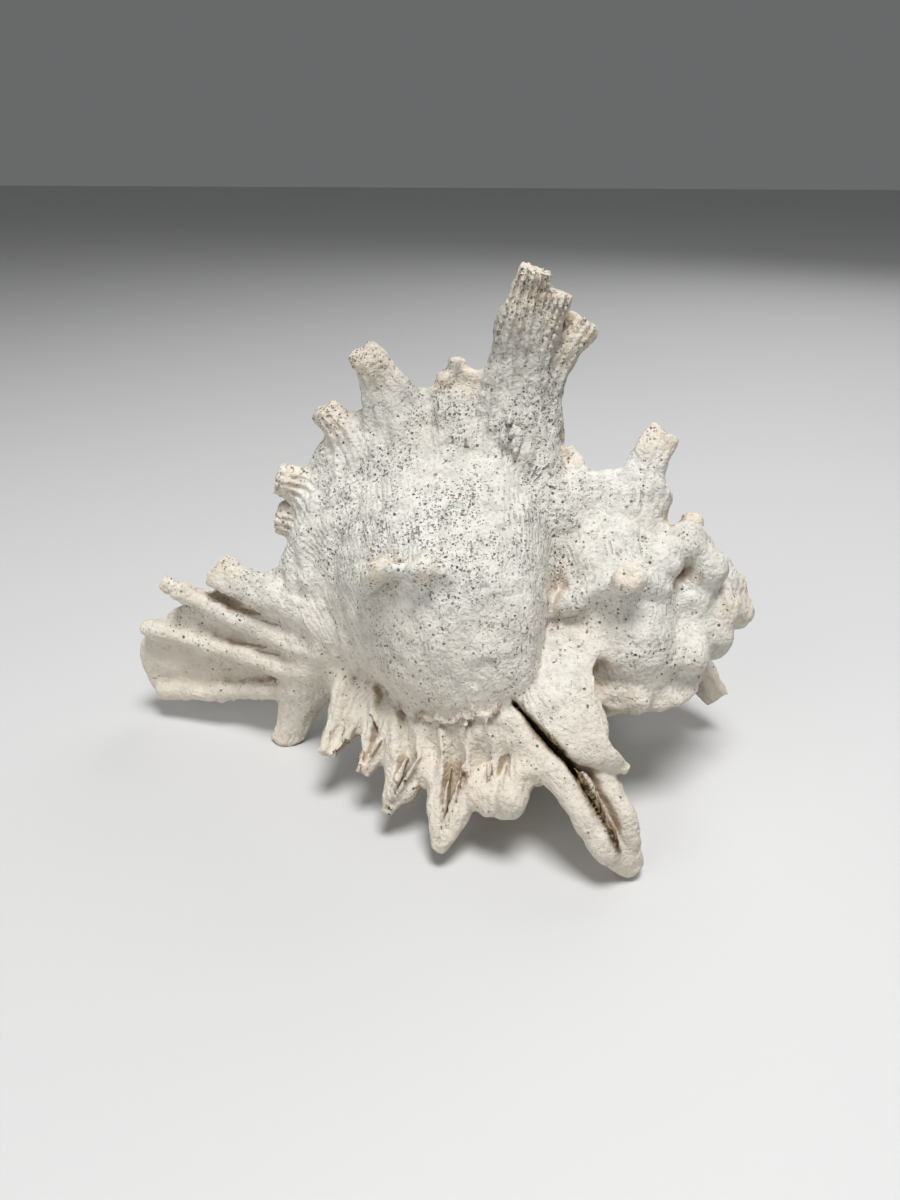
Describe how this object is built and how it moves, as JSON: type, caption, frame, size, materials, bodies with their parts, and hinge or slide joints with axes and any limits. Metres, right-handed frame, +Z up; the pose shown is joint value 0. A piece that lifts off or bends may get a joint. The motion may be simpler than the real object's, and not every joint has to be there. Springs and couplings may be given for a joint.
{
  "type": "murex shell",
  "caption": "Weathered spiny murex sea shell with flared varices, a knobbly spire, a bladed siphonal canal and an open aperture, lying on its spines.",
  "frame": {"origin": "on the resting plane, under the middle of the shell's bounding box", "axes": "+Z up, +X from the siphonal canal towards the apex, +Y away from the viewer, towards the aperture's side"},
  "size_m": [0.1162, 0.0688, 0.0898],
  "materials": {
    "shell": "chalky, pitted, matt"
  },
  "bodies": {
    "root": {"shell": "shell"}
  },
  "joints": []
}
